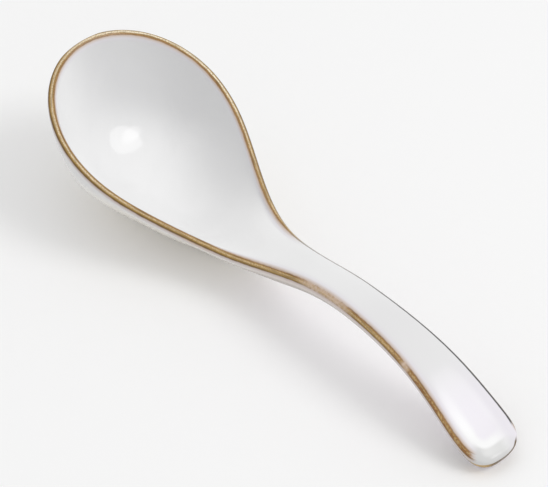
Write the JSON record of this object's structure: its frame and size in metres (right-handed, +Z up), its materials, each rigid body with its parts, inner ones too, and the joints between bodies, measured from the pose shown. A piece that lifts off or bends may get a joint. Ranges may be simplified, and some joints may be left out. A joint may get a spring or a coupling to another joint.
{
  "type": "serving spoon",
  "caption": "Glazed stoneware serving spoon with a deep egg-shaped bowl, an arched handle whose tip rests on the table, and a brown band along its edge.",
  "frame": {"origin": "middle of the bounding box, on the table that the spoon rests on", "axes": "+X along the spoon from the front of the bowl to the tip of the handle, +Y across it, +Z up"},
  "size_m": [0.24, 0.0754, 0.0564],
  "materials": {
    "bare_stoneware": "matt fired clay",
    "white_glaze_above": "gloss white glaze",
    "white_glaze_below": "gloss white glaze",
    "brown_glaze": "gloss golden-brown iron glaze"
  },
  "bodies": {
    "root": {"stoneware_body": "bare_stoneware", "upper_glaze": "white_glaze_above", "under_glaze": "white_glaze_below", "rim_band": "brown_glaze"}
  },
  "joints": []
}
